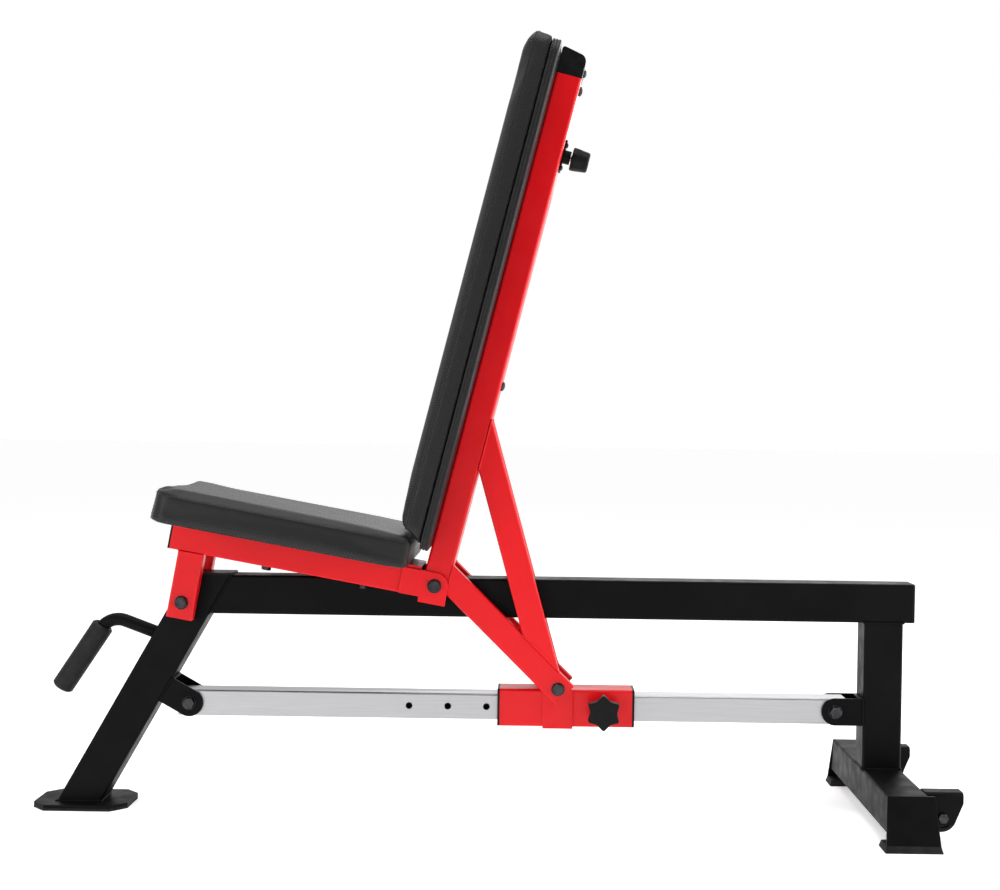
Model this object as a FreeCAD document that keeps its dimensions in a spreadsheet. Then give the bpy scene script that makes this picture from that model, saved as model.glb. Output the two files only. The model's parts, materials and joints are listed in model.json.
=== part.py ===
import FreeCAD, Part
import math
import os
import re

import Sketcher
from FreeCAD import Placement, Rotation, Vector

# An adjustable weight bench, in millimetres.  X runs along the bench with the seat at -X and the
# backrest at +X, Z is up and the floor is Z = 0.  The seat turns on a bolt through the top of the
# front leg, the backrest turns on two bolts at the rear of the seat, and two struts welded to the
# backrest end at a sleeve that slides along the lower rail.  "left" is the side at -Y.

SIZES = {
    # main frame
    "beam_width": 50, "beam_height": 60, "beam_top": 362.5, "beam_rear": 656, "frame_wall": 3,
    "tube_round": 4, "slim_round": 3, "cap_thick": 3, "cap_lip": 2, "plug_gap": 0.2, "plug_deep": 12,
    "leg_depth": 60, "leg_lean": 29.2, "leg_foot_x": -629.8, "leg_foot_z": 9,
    "post_front": 582, "post_depth": 60,
    "bar_front": 581, "bar_rear": 642, "bar_bottom": 21, "bar_top": 76, "bar_reach": 183,
    "bar_splay": 15.8, "end_plate_thick": 4, "flare_front": 4.6, "flare_rear": 12.5, "flare_top": 8,
    "rear_pad_thick": 9.6, "rear_pad_flare": 2.5, "rear_pad_inner": 30, "rear_pad_outer": 4,
    "rear_pad_slope": 4,
    "foot_front": -698, "foot_rear": -553, "foot_half": 51, "foot_corner": 22,
    "foot_pad_thick": 4,
    # lower rail and its two clevises
    "rail_size": 40, "rail_z": 163.5, "rail_front": -479, "rail_rear": 556, "rail_wall": 2.5,
    "rail_bolt_front": -461, "rail_bolt_rear": 539, "rail_hole": 10.5, "hole_first": -121,
    "hole_pitch": 60, "clevis_inner": 20.5, "clevis_thick": 4, "clevis_reach": 41.9,
    "clevis_round": 21, "clevis_base": 4, "rear_clevis_base": 6, "rail_plug": 4,
    # carrying handle
    "handle_tube": 10, "handle_bore": 8, "handle_x": -520.9, "handle_z": 269.6, "handle_rise": 20,
    "handle_out": 49.5, "handle_bend": 32, "handle_turn": 76.96, "handle_drop": 102.8,
    "grip_outer": 16.85, "grip_x": -665.8, "grip_z": 180.7, "grip_lean": 33.04, "grip_length": 117.7,
    "grip_gap": 0.05, "grip_bevel": 3, "grip_floor": 8, "grip_mouth": 1.2, "grip_mouth_deep": 9,
    # transport wheels
    "wheel_x": 667.7, "wheel_y": 148, "wheel_z": 39.4, "wheel_radius": 23, "wheel_half": 10,
    "wheel_bore": 4.05, "wheel_hub": 9, "wheel_rim": 16, "wheel_dish": 2, "wheel_bevel": 2.5,
    "axle_radius": 4, "bracket_half": 15, "bracket_wall": 3, "bracket_rear": 698, "bracket_round": 6,
    "bracket_tail": 60, "bracket_heel": 44, "bracket_bottom": 29, "bracket_slant": 13, "bracket_toe": 16,
    # pivots: seat and backrest meet at the hinge, the struts meet the sleeve at the lever pivot
    "hinge_x": -82, "hinge_z": 353, "seat_pitch": 10, "back_pitch": 13.95,
    "seat_pivot_a": -375.4, "seat_pivot_c": -98, "seat_pivot_x": -468.714, "seat_pivot_z": 321.676,
    "lever_x": 223.0, "lever_t": -105.35, "pivot_radius": 5, "bush_bore": 5.05, "bush_outer": 7,
    "washer_outer": 10, "washer_thick": 2.5, "washer_gap": 0.15,
    "hinge_radius": 6, "hinge_bore": 6.05, "hinge_bush_outer": 8, "hinge_head": 9.6, "hinge_gap": 0.3,
    "hinge_tail": 0.5,
    # seat, measured from the hinge along the rails (a) and square to them (c)
    "seat_inner": 28, "slim_width": 20, "slim_half": 20, "slim_wall": 2, "rail_a_front": -409.4,
    "rail_a_rear": -24.4, "lug_half": 20, "lug_bottom": -123, "ear_thick": 5, "ear_front": -52.4,
    "ear_bottom": -28, "ear_round": 20.5, "ear_foot": -21, "cross_plate_thick": 5,
    "cross_inset": 20, "cross_front_wide": 50, "cross_rear_wide": 45, "rail_cap_inset": 0.3,
    "seat_board_thick": 14, "seat_foam_thick": 35, "seat_front": -430, "seat_rear": -27,
    "seat_under_rear": -46, "seat_half": 135.5, "seat_rear_round": 34, "pad_corner": 24,
    "pad_edge": 9, "board_inset": 1.5, "panel_bolt_y": 38, "seat_bolt_front": -259.4,
    "seat_bolt_rear": -108.4,
    # backrest, measured rearward (x) and up the spine (t) from the hinge
    "spine_half": 47.5, "spine_deep": 20, "spine_low": 20, "spine_top": 805, "spine_wall": 2.5,
    "cheek_inner": 27.5, "cap_front": 847, "cap_rear": 839, "back_board_thick": 13,
    "back_foam_thick": 38, "back_board_low": 55, "back_board_high": 836, "back_low": 58,
    "back_high": 845, "back_nose": 88, "back_half": 135.5, "back_bolt_low": 322,
    "back_bolt_high": 796, "stow_pin": 692, "stow_plate_half": 24,
    "strut_lean_upper": 29.65, "strut_lean_lower": 59.51, "strut_end": 14.2,
    "strut_top_t": 268.9, "cap_rear_round": 12, "cap_round": 4, "cap_screw_rise": 19, "back_lip": 3,
    "back_step": 12, "back_crown": 14, "back_crown_drop": 26, "bolt_short": 2,
    # spring pin at the top of the spine
    "stow_plate_wide": 16, "stow_plate_thick": 3, "stow_plate_round": 4, "stow_neck": 10.5,
    "stow_neck_long": 10, "stow_screw_out": 18, "stow_screw": 4, "stow_screw_high": 2.6,
    "stow_pin_start": 0.5, "stow_pin_long": 24,
    # sleeve on the lower rail
    "sleeve_front": 19.5, "sleeve_rear": 224.5, "sleeve_half_y": 25, "sleeve_half_z": 29,
    "sleeve_wall": 2.5, "liner_flange": 3.5, "liner_depth": 28, "liner_gap": 0.1,
    "saddle_front": 86, "saddle_rear": 132.5, "saddle_thick": 2, "saddle_floor": 2.5,
    "saddle_ear": 14, "saddle_step": 4, "lever_gap": 0.1,
    "lever_pivot_x": 109, "lever_pivot_z": 197, "pin_x": 179, "pin_housing": 12,
    "pin_housing_reach": 40, "pin_radius": 5, "pin_tip": 20.3, "spindle_radius": 4,
    "knob_near": 44.3, "knob_deep": 19.7, "knob_tip": 28, "knob_valley": 20.5,
    "knob_tip_round": 3.2, "knob_valley_round": 8, "knob_face_round": 2, "knob_neck": 11,
    "knob_neck_long": 5, "knob_gap": 0.3, "knob_cover": 4, "pin_gap": 0.05,
    # fasteners
    "m10_head": 9.3, "m10_head_high": 6.4, "m8_radius": 4, "m8_head": 7.5, "m8_head_high": 5.5,
    "small_screw": 6, "small_head_high": 4.5, "m10_nut": 8, "m8_nut": 6.5, "thread_past": 2,
}

# Frames that hang on the main one: x and z of the origin, and the turn about +Y in degrees.
FRAMES = {
    "bench": ("0", "0", "0"),
    "leg": ("leg_foot_x", "leg_foot_z", "leg_lean"),
    "front_clevis": ("rail_bolt_front", "rail_z", "leg_lean"),
    "grip": ("grip_x", "grip_z", "grip_lean"),
    "wheel": ("wheel_x", "wheel_z", "0"),
    "seat": ("hinge_x", "hinge_z", "seat_pitch"),
    "backrest": ("hinge_x", "hinge_z", "back_pitch"),
    "sleeve": ("0", "rail_z", "0"),
}
LEFT, RIGHT = "-1", "1"
SIDE_NAMES = {LEFT: "left", RIGHT: "right"}
# Part primitives grow along their own Z, so each direction has a turn (axis, degrees).
TURNS = {"+x": ((0, 1, 0), 90), "-x": ((0, 1, 0), -90), "+y": ((1, 0, 0), -90),
         "-y": ((1, 0, 0), 90), "+z": ((0, 0, 1), 0), "-z": ((1, 0, 0), 180)}
LONG_EDGE = 100.0
RAIL_HOLES = 6
KNOB_POINTS = 6
KNOB_START = 90
# The stow pin's knob: how far each ring of it stands off the spine, and that ring's radius.
STOW_KNOB = ((15, 16.5), (16.5, 18), (21, 18), (40.5, 15.5), (42.5, 13.5))
STOW_KNOB_SOCKET = 24.5

doc = FreeCAD.newDocument("weight_bench")
sheet = doc.addObject("Spreadsheet::Sheet", "Sizes")
finished = []


# ---------------------------------------------------------------- document helpers

def fill_sheet():
    for row, (word, number) in enumerate(SIZES.items(), 1):
        sheet.set(f"A{row}", word)
        sheet.set(f"B{row}", str(number))
        sheet.setAlias(f"B{row}", word)
    doc.recompute()


def cells(formula):
    """Point every name in a formula at its cell in the sheet."""
    return re.sub(r"[a-z_][a-z_0-9]*",
                  lambda word: "Sizes." + word[0] if word[0] in SIZES else word[0], str(formula))


def bind(thing, **formulas):
    for name, formula in formulas.items():
        thing.setExpression(name.replace("__", "."), cells(formula))


def put(thing, frame, y="0"):
    x, z, turn = FRAMES[frame]
    thing.Placement = Placement(Vector(), Rotation(Vector(0, 1, 0), 1))
    bind(thing, Placement__Base__x=x, Placement__Base__y=y, Placement__Base__z=z,
         Placement__Rotation__Angle=turn)


def finish(thing, label, frame="bench", y="0"):
    put(thing, frame, y)
    thing.Label = label
    finished.append(thing)
    return thing


# ---------------------------------------------------------------- sketches and PartDesign features

def new_body(name):
    return doc.addObject("PartDesign::Body", name + "_body")


def new_sketch(body, plane, height):
    """A sketch on one of the body's own planes, raised to a height along that plane's axis."""
    sketch = body.newObject("Sketcher::SketchObject", body.Name + "_sketch")
    origin = [item for item in body.Origin.OriginFeatures if item.Role == plane + "_Plane"][0]
    sketch.AttachmentSupport = [(origin, "")]
    sketch.MapMode = "FlatFace"
    sign = "-" if plane == "XZ" else ""
    bind(sketch, AttachmentOffset__Base__z=f"{sign}({height})")
    return sketch


def pin_point(sketch, geometry, place, corner):
    for kind, formula in zip(("DistanceX", "DistanceY"), corner):
        index = sketch.addConstraint(Sketcher.Constraint(kind, -1, 1, geometry, place, 1.0))
        sketch.setExpression(f"Constraints[{index}]", cells(formula))


def draw_polygon(sketch, corners):
    count = len(corners)
    start = [Vector(100 * math.cos(math.tau * k / count), 100 * math.sin(math.tau * k / count), 0)
             for k in range(count)]
    for k in range(count):
        sketch.addGeometry(Part.LineSegment(start[k], start[(k + 1) % count]), False)
    for k in range(count):
        sketch.addConstraint(Sketcher.Constraint("Coincident", k, 2, (k + 1) % count, 1))
    for k, corner in enumerate(corners):
        pin_point(sketch, k, 1, corner)


def draw_circles(sketch, centres, radius):
    for k, centre in enumerate(centres):
        spot = Vector(30 * k, 0, 0)
        sketch.addGeometry(Part.Circle(spot, Vector(0, 0, 1), 5), False)
        pin_point(sketch, k, 3, centre)
        index = sketch.addConstraint(Sketcher.Constraint("Radius", k, 5))
        sketch.setExpression(f"Constraints[{index}]", cells(radius))


def add_pad(body, plane, low, high, corners=None, centres=None, radius=None):
    """Grow a profile from low to high along the plane's axis."""
    sketch = new_sketch(body, plane, high if plane == "XZ" else low)
    if corners:
        draw_polygon(sketch, corners)
    else:
        draw_circles(sketch, centres, radius)
    pad = body.newObject("PartDesign::Pad", body.Name + "_pad")
    pad.Profile = sketch
    bind(pad, Length=f"({high}) - ({low})")
    doc.recompute()
    return pad


def add_pocket(body, plane, low, high, corners=None, centres=None, radius=None):
    """Cut a profile from high down to low along the plane's axis, and make sure it cuts."""
    before = body.Shape.Volume
    sketch = new_sketch(body, plane, low if plane == "XZ" else high)
    if corners:
        draw_polygon(sketch, corners)
    else:
        draw_circles(sketch, centres, radius)
    pocket = body.newObject("PartDesign::Pocket", body.Name + "_pocket")
    pocket.Profile = sketch
    bind(pocket, Length=f"({high}) - ({low})")
    doc.recompute()
    if not body.Shape.Volume < before - 0.01:
        raise RuntimeError(f"{pocket.Name} cuts nothing")
    return pocket


def add_turned(body, plane, corners, axis):
    """Turn a profile a full circle about the sketch's horizontal or vertical axis."""
    sketch = new_sketch(body, plane, "0")
    draw_polygon(sketch, corners)
    turned = body.newObject("PartDesign::Revolution", body.Name + "_turned")
    turned.Profile = sketch
    turned.ReferenceAxis = (sketch, [axis])
    turned.Angle = 360
    doc.recompute()
    return turned


def soften(body, radius, test, kind="Fillet"):
    """Round or bevel the edges of the body's tip that pass a test."""
    base = body.Tip
    names = [f"Edge{k}" for k, edge in enumerate(base.Shape.Edges, 1) if test(edge)]
    if not names:
        raise RuntimeError(f"{body.Name} has no edge to soften")
    feature = body.newObject("PartDesign::" + kind, body.Name + "_" + kind.lower())
    feature.Base = (base, names)
    bind(feature, **{"Radius" if kind == "Fillet" else "Size": radius})
    doc.recompute()
    return feature


def is_straight(edge):
    return edge.Curve.TypeId == "Part::GeomLine"


def is_long(edge):
    return is_straight(edge) and edge.Length > LONG_EDGE


def runs_along(direction):
    wanted = Vector(*direction)
    return lambda edge: is_straight(edge) and abs(edge.tangentAt(edge.FirstParameter).dot(wanted)) > 0.999


def crosswise_at(place, above):
    """Tests for an edge across the bench at one X of the body's own frame, above a height."""
    return lambda edge: (runs_along((0, 1, 0))(edge) and abs(edge.CenterOfMass.x - place) < 0.5
                         and edge.CenterOfMass.z > above)


def hollow(body, wall, closed=None):
    """Turn a solid bar into a tube, open at each end face but those that lie beyond `closed`."""
    base = body.Tip
    ends = []
    for k, face in enumerate(base.Shape.Faces, 1):
        is_end = max(edge.Length for edge in face.Edges) < LONG_EDGE
        if is_end and not (closed and closed(face.CenterOfMass)):
            ends.append(f"Face{k}")
    feature = body.newObject("PartDesign::Thickness", body.Name + "_thickness")
    feature.Base = (base, ends)
    feature.Reversed = True
    feature.Mode = 0
    feature.Join = 0
    bind(feature, Value=wall)
    doc.recompute()
    if not feature.Shape.Volume < base.Shape.Volume * 0.8:
        raise RuntimeError(f"{feature.Name} hollows nothing")
    return feature


def rectangle(half_x, half_z, x="0", z="0"):
    return [(f"{x} - {half_x}", f"{z} - {half_z}"), (f"{x} + {half_x}", f"{z} - {half_z}"),
            (f"{x} + {half_x}", f"{z} + {half_z}"), (f"{x} - {half_x}", f"{z} + {half_z}")]


def span(low_x, high_x, low_z, high_z):
    return [(low_x, low_z), (high_x, low_z), (high_x, high_z), (low_x, high_z)]


def tube(name, plane, low, high, corners, wall, rounding="tube_round", closed=None):
    """A rounded box tube: `corners` is its profile, or its side view where the ends are slanted."""
    body = new_body(name)
    add_pad(body, plane, low, high, corners)
    soften(body, rounding, is_long)
    hollow(body, wall, closed)
    return body


def plate(name, plane, low, high, corners):
    body = new_body(name)
    add_pad(body, plane, low, high, corners)
    return body


# ---------------------------------------------------------------- Part primitives and booleans

def primitive(kind, name, axis, at, **formulas):
    thing = doc.addObject(kind, name)
    turn_axis, degrees = TURNS[axis]
    thing.Placement = Placement(Vector(), Rotation(Vector(*turn_axis), degrees))
    x, y, z = at
    bind(thing, Placement__Base__x=x, Placement__Base__y=y, Placement__Base__z=z, **formulas)
    return thing


def rod(name, axis, at, radius, length):
    return primitive("Part::Cylinder", name, axis, at, Radius=radius, Height=length)


def block(name, low, size):
    return primitive("Part::Box", name, "+z", low, Length=size[0], Width=size[1], Height=size[2])


def boolean(kind, name, first, second):
    thing = doc.addObject(kind, name)
    thing.Base = first
    thing.Tool = second
    return thing


def common(name, first, second):
    return boolean("Part::Common", name, first, second)


def cut(name, first, second):
    return boolean("Part::Cut", name, first, second)


def fuse(name, shapes):
    thing = doc.addObject("Part::MultiFuse", name)
    thing.Shapes = shapes
    return thing


def group(name, shapes):
    thing = doc.addObject("Part::Compound", name)
    thing.Links = shapes
    return thing


def ring(name, axis, at, outer, inner, length):
    return cut(name, rod(name + "_outer", axis, at, outer, length),
               rod(name + "_bore", axis, at, inner, length))


OPPOSITE = {"+": "-", "-": "+"}


def hex_block(name, axis, at, corner_radius, length):
    """A hexagon with its outer corners bevelled, as on a bolt head."""
    prism = primitive("Part::Prism", name + "_prism", axis, at,
                      Circumradius=corner_radius, Height=length)
    prism.Polygon = 6
    cone = primitive("Part::Cone", name + "_cone", axis, at, Radius1=f"{corner_radius} + {length}",
                     Radius2=f"{corner_radius} * 0.9", Height=length)
    return common(name, prism, cone)


def bolt(name, axis, at, radius, length, head, head_high):
    """A hexagon bolt: `at` is where the head meets the work, and the shank runs along the axis."""
    back = OPPOSITE[axis[0]] + axis[1]
    return fuse(name, [rod(name + "_shank", axis, at, radius, length),
                       hex_block(name + "_head", back, at, head, head_high)])


def nut(name, axis, at, radius, corner_radius, length):
    return cut(name, hex_block(name + "_hex", axis, at, corner_radius, length),
               rod(name + "_bore", axis, at, radius, length))


def button(name, axis, at, head, head_high):
    """A low domed head: a disc whose outer edge is rounded."""
    disc = rod(name + "_disc", axis, at, head, head_high)
    dome = primitive("Part::Ellipsoid", name + "_dome", axis, at, Radius1=f"{head_high}",
                     Radius2=f"{head} * 1.12", Angle1="-90", Angle2="90")
    bind(dome, Radius3=f"{head} * 1.12")
    return common(name, disc, dome)


def button_bolt(name, axis, at, radius, length, head, head_high):
    back = OPPOSITE[axis[0]] + axis[1]
    return fuse(name, [rod(name + "_shank", axis, at, radius, length),
                       button(name + "_head", back, at, head, head_high)])


# ---------------------------------------------------------------- main frame

def leg_x(side, height):
    """X of the leg's front or rear face at a height above the floor."""
    half = "leg_depth / 2 / cos(leg_lean)"
    sign = "-" if side == "front" else "+"
    return f"leg_foot_x {sign} {half} + ({height} - leg_foot_z) * tan(leg_lean)"


def make_front_foot():
    for name, low, high in (("front_foot_pad", "0", "foot_pad_thick"),
                            ("front_foot_plate", "foot_pad_thick", "leg_foot_z")):
        body = plate(name, "XY", low, high, span("foot_front", "foot_rear", "-foot_half", "foot_half"))
        soften(body, "foot_corner", runs_along((0, 0, 1)), "Chamfer")
        finish(body, name)


def make_front_leg():
    corners = [(leg_x("front", "leg_foot_z"), "leg_foot_z"), (leg_x("rear", "leg_foot_z"), "leg_foot_z"),
               (leg_x("rear", "beam_top"), "beam_top"), (leg_x("front", "beam_top"), "beam_top")]
    body = tube("front_leg", "XZ", "-beam_width / 2", "beam_width / 2", corners, "frame_wall")
    add_pocket(body, "XZ", "-beam_width / 2 - 1", "beam_width / 2 + 1",
               centres=[("seat_pivot_x", "seat_pivot_z")], radius="bush_outer")
    finish(body, "front_leg")
    cap = plate("leg_top_cap", "XZ", "-beam_width / 2", "beam_width / 2",
                [(leg_x("front", "beam_top"), "beam_top"), (leg_x("rear", "beam_top"), "beam_top"),
                 (leg_x("rear", "beam_top"), "beam_top + cap_thick"),
                 (leg_x("front", "beam_top") + " + cap_lip", "beam_top + cap_thick")])
    finish(cap, "leg_top_cap")
    bush = ring("leg_bush_ring", "+y", ("seat_pivot_x", "-beam_width / 2", "seat_pivot_z"),
                "bush_outer", "bush_bore", "beam_width")
    finish(group("leg_pivot_bush_group", [bush]), "leg_pivot_bush")
    washers = [ring("pivot_washer_" + SIDE_NAMES[side], axis,
                    ("seat_pivot_x", f"{side} * (beam_width / 2 + washer_gap)", "seat_pivot_z"),
                    "washer_outer", "bush_bore", "washer_thick")
               for side, axis in ((LEFT, "-y"), (RIGHT, "+y"))]
    finish(group("pivot_washers_group", washers), "pivot_washers")


def make_main_beam():
    low = "beam_top - beam_height"
    corners = [(leg_x("rear", low), low), ("beam_rear", low), ("beam_rear", "beam_top"),
               (leg_x("rear", "beam_top"), "beam_top")]
    finish(tube("main_beam", "XZ", "-beam_width / 2", "beam_width / 2", corners, "frame_wall"), "main_beam")
    cap = plate("beam_end_cap", "YZ", "beam_rear", "beam_rear + cap_thick",
                rectangle("beam_width / 2", "beam_height / 2", "0", "beam_top - beam_height / 2"))
    soften(cap, "tube_round", runs_along((1, 0, 0)))
    plug = rectangle("(beam_width / 2 - frame_wall - plug_gap)", "(beam_height / 2 - frame_wall - plug_gap)",
                     "0", "beam_top - beam_height / 2")
    add_pad(cap, "YZ", "beam_rear - plug_deep", "beam_rear", plug)
    finish(cap, "beam_end_cap")


def make_rear_support():
    post = tube("rear_post", "XY", "bar_top", "beam_top - beam_height",
                rectangle("post_depth / 2", "beam_width / 2", "post_front + post_depth / 2"), "frame_wall")
    finish(post, "rear_post")
    low_reach = "(bar_reach + bar_splay)"
    bar = tube("rear_foot_bar", "YZ", "bar_front", "bar_rear",
               [(f"-{low_reach}", "bar_bottom"), (low_reach, "bar_bottom"), ("bar_reach", "bar_top"),
                ("-bar_reach", "bar_top")], "frame_wall")
    finish(bar, "rear_foot_bar")
    foot_y = "(bar_reach + (bar_top - rear_pad_thick) * bar_splay / (bar_top - bar_bottom))"
    wide = f"({foot_y} + rear_pad_outer + rear_pad_slope + 1)"
    front, rear = "(bar_front - flare_front)", "(bar_rear + flare_rear)"
    pad_front, pad_rear = f"({front} - rear_pad_flare)", f"({rear} + rear_pad_flare)"
    plates, pads = [], []
    for side in (LEFT, RIGHT):
        tag = SIDE_NAMES[side]
        edge = plate("end_plate_edge_" + tag, "YZ", front, rear,
                     [(f"{side} * bar_reach", "bar_top"),
                      (f"{side} * (bar_reach + end_plate_thick)", "bar_top"),
                      (f"{side} * ({foot_y} + end_plate_thick)", "rear_pad_thick"),
                      (f"{side} * {foot_y}", "rear_pad_thick")])
        face = plate("end_plate_face_" + tag, "XZ", f"-{wide}", wide,
                     [(front, "rear_pad_thick"), (rear, "rear_pad_thick"),
                      ("bar_rear + flare_top", "bar_top"), ("bar_front", "bar_top")])
        plates.append(common("end_plate_" + tag, edge, face))
        end_view = plate("rear_pad_end_" + tag, "YZ", pad_front, pad_rear,
                         [(f"{side} * ({foot_y} - rear_pad_inner - rear_pad_slope)", "0"),
                          (f"{side} * ({foot_y} + rear_pad_outer + rear_pad_slope)", "0"),
                          (f"{side} * ({foot_y} + rear_pad_outer)", "rear_pad_thick"),
                          (f"{side} * ({foot_y} - rear_pad_inner)", "rear_pad_thick")])
        side_view = plate("rear_pad_side_" + tag, "XZ", f"-{wide}", wide,
                          [(pad_front, "0"), (pad_rear, "0"), (rear, "rear_pad_thick"),
                           (front, "rear_pad_thick")])
        pads.append(common("rear_pad_" + tag, end_view, side_view))
    finish(group("foot_bar_end_plates_group", plates), "foot_bar_end_plates")
    finish(group("rear_foot_pads_group", pads), "rear_foot_pads")


def make_guide_rail():
    half = "rail_size / 2"
    rail = tube("guide_rail", "YZ", "rail_front", "rail_rear",
                rectangle(f"({half})", f"({half})", "0", "rail_z"), "rail_wall", "slim_round")
    add_pocket(rail, "XZ", f"-({half}) - 1", "0",
               centres=[(f"hole_first + {k} * hole_pitch", "rail_z") for k in range(RAIL_HOLES)],
               radius="rail_hole / 2")
    add_pocket(rail, "XZ", f"-({half}) - 1", f"({half}) + 1",
               centres=[("rail_bolt_front", "rail_z"), ("rail_bolt_rear", "rail_z")],
               radius="rail_hole / 2")
    finish(rail, "guide_rail")
    plugs = []
    for tag, low, high in (("front", "rail_front", "rail_front + rail_plug"),
                           ("rear", "rail_rear - rail_plug", "rail_rear")):
        plugs.append(plate("rail_plug_" + tag, "YZ", low, high,
                           rectangle(f"({half} - rail_wall)", f"({half} - rail_wall)", "0", "rail_z")))
    finish(group("rail_plugs_group", plugs), "rail_plugs")


def make_clevis(name, frame, reach, base, plate_half):
    """A U of two round-nosed cheeks on a base plate, with the bolt at its frame's origin."""
    body = new_body(name)
    outer = "(clevis_inner + clevis_thick)"
    for low, high in ((f"-{outer}", "-clevis_inner"), ("clevis_inner", outer)):
        add_pad(body, "XZ", low, high, span(f"-{reach}", "0", "-clevis_round", "clevis_round"))
        add_pad(body, "XZ", low, high, centres=[("0", "0")], radius="clevis_round")
    add_pad(body, "XZ", f"-{plate_half}", plate_half,
            span(f"-{reach}", f"{base} - {reach}", "-clevis_round", "clevis_round"))
    add_pocket(body, "XZ", f"-{outer} - 1", f"{outer} + 1", centres=[("0", "0")], radius="rail_hole / 2")
    return finish(body, name, frame)


def make_rail_mounts():
    outer = "(clevis_inner + clevis_thick)"
    make_clevis("front_clevis", "front_clevis", "clevis_reach", "clevis_base", outer)
    FRAMES["rear_clevis"] = ("rail_bolt_rear", "rail_z", "180")
    make_clevis("rear_clevis", "rear_clevis", "(post_front - rail_bolt_rear)", "rear_clevis_base", outer)
    bolts, nuts = [], []
    for tag, x in (("front", "rail_bolt_front"), ("rear", "rail_bolt_rear")):
        bolts.append(bolt("rail_bolt_" + tag, "+y", (x, f"-{outer}", "rail_z"), "pivot_radius",
                          f"{outer} * 2 + m10_nut + thread_past", "m10_head", "m10_head_high"))
        nuts.append(nut("rail_nut_" + tag, "+y", (x, outer, "rail_z"), "pivot_radius", "m10_head",
                        "m10_nut"))
    finish(group("rail_bolts_group", bolts), "rail_bolts")
    finish(group("rail_nuts_group", nuts), "rail_nuts")


def make_carry_handle():
    """A bent tube: out of the leg, round one bend and down to the grip."""
    path = doc.addObject("Sketcher::SketchObject", "handle_path")
    path.Placement = Placement(Vector(), Rotation(Vector(1, 0, 0), 90))
    heading = math.radians(180 - SIZES["handle_rise"])
    out = Vector(math.cos(heading), math.sin(heading), 0)
    down = Rotation(Vector(0, 0, 1), SIZES["handle_turn"]).multVec(out)
    corner = SIZES["handle_bend"] * math.tan(math.radians(SIZES["handle_turn"] / 2))
    start = Vector(SIZES["handle_x"], SIZES["handle_z"], 0)
    bend_start = start + out * SIZES["handle_out"]
    bend_end = bend_start + out * corner + down * corner
    centre = bend_start + Vector(-out.y, out.x, 0) * SIZES["handle_bend"]
    bend_middle = centre + (bend_start + bend_end - centre * 2).normalize() * SIZES["handle_bend"]
    path.addGeometry(Part.LineSegment(start, bend_start), False)
    path.addGeometry(Part.Arc(bend_start, bend_middle, bend_end), False)
    path.addGeometry(Part.LineSegment(bend_end, bend_end + down * SIZES["handle_drop"]), False)
    path.addConstraint(Sketcher.Constraint("Tangent", 0, 2, 1, 1))
    path.addConstraint(Sketcher.Constraint("Tangent", 1, 2, 2, 1))
    for kind, items, number, formula in (
            ("DistanceX", (-1, 1, 0, 1), start.x, "handle_x"),
            ("DistanceY", (-1, 1, 0, 1), start.y, "handle_z"),
            ("Distance", (0,), SIZES["handle_out"], "handle_out"),
            ("Radius", (1,), SIZES["handle_bend"], "handle_bend"),
            ("Distance", (2,), SIZES["handle_drop"], "handle_drop"),
            ("Angle", (0,), heading, "180 - handle_rise"),
            ("Angle", (2,), heading + math.radians(SIZES["handle_turn"]),
             "180 - handle_rise + handle_turn")):
        index = path.addConstraint(Sketcher.Constraint(kind, *items, number))
        path.setExpression(f"Constraints[{index}]", cells(formula))
    sweeps = []
    for tag, radius in (("outer", "handle_tube"), ("bore", "handle_bore")):
        circle = doc.addObject("Part::Circle", "handle_circle_" + tag)
        circle.Placement = Placement(Vector(), Rotation(Vector(0, 1, 0), 1))
        bind(circle, Radius=radius, Placement__Base__x="handle_x", Placement__Base__z="handle_z",
             Placement__Rotation__Angle="handle_rise - 90")
        sweep = doc.addObject("Part::Sweep", "handle_sweep_" + tag)
        sweep.Sections = [circle]
        sweep.Spine = (path, ["Edge1", "Edge2", "Edge3"])
        sweep.Solid = True
        sweeps.append(sweep)
    tube_shape = cut("handle_tube_shape", sweeps[0], sweeps[1])
    low = "handle_z - leg_depth"
    leg_space = plate("handle_leg_space", "XZ", "-beam_width / 2", "beam_width / 2",
                      [(leg_x("front", low), low), (leg_x("rear", low), low),
                       (leg_x("rear", "beam_top"), "beam_top"), (leg_x("front", "beam_top"), "beam_top")])
    finish(cut("carry_handle_shape", tube_shape, leg_space), "carry_handle")
    grip = new_body("handle_grip")
    bore = "handle_tube + grip_gap"
    add_turned(grip, "XZ", [("0", "0"), ("grip_outer - grip_bevel", "0"), ("grip_outer", "grip_bevel"),
                            ("grip_outer", "grip_length - grip_bevel"),
                            ("grip_outer - grip_bevel", "grip_length"),
                            (bore + " + grip_mouth", "grip_length"),
                            (bore, "grip_length - grip_mouth_deep"), (bore, "grip_floor"),
                            ("0", "grip_floor")], "V_Axis")
    finish(grip, "handle_grip", "grip")


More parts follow.
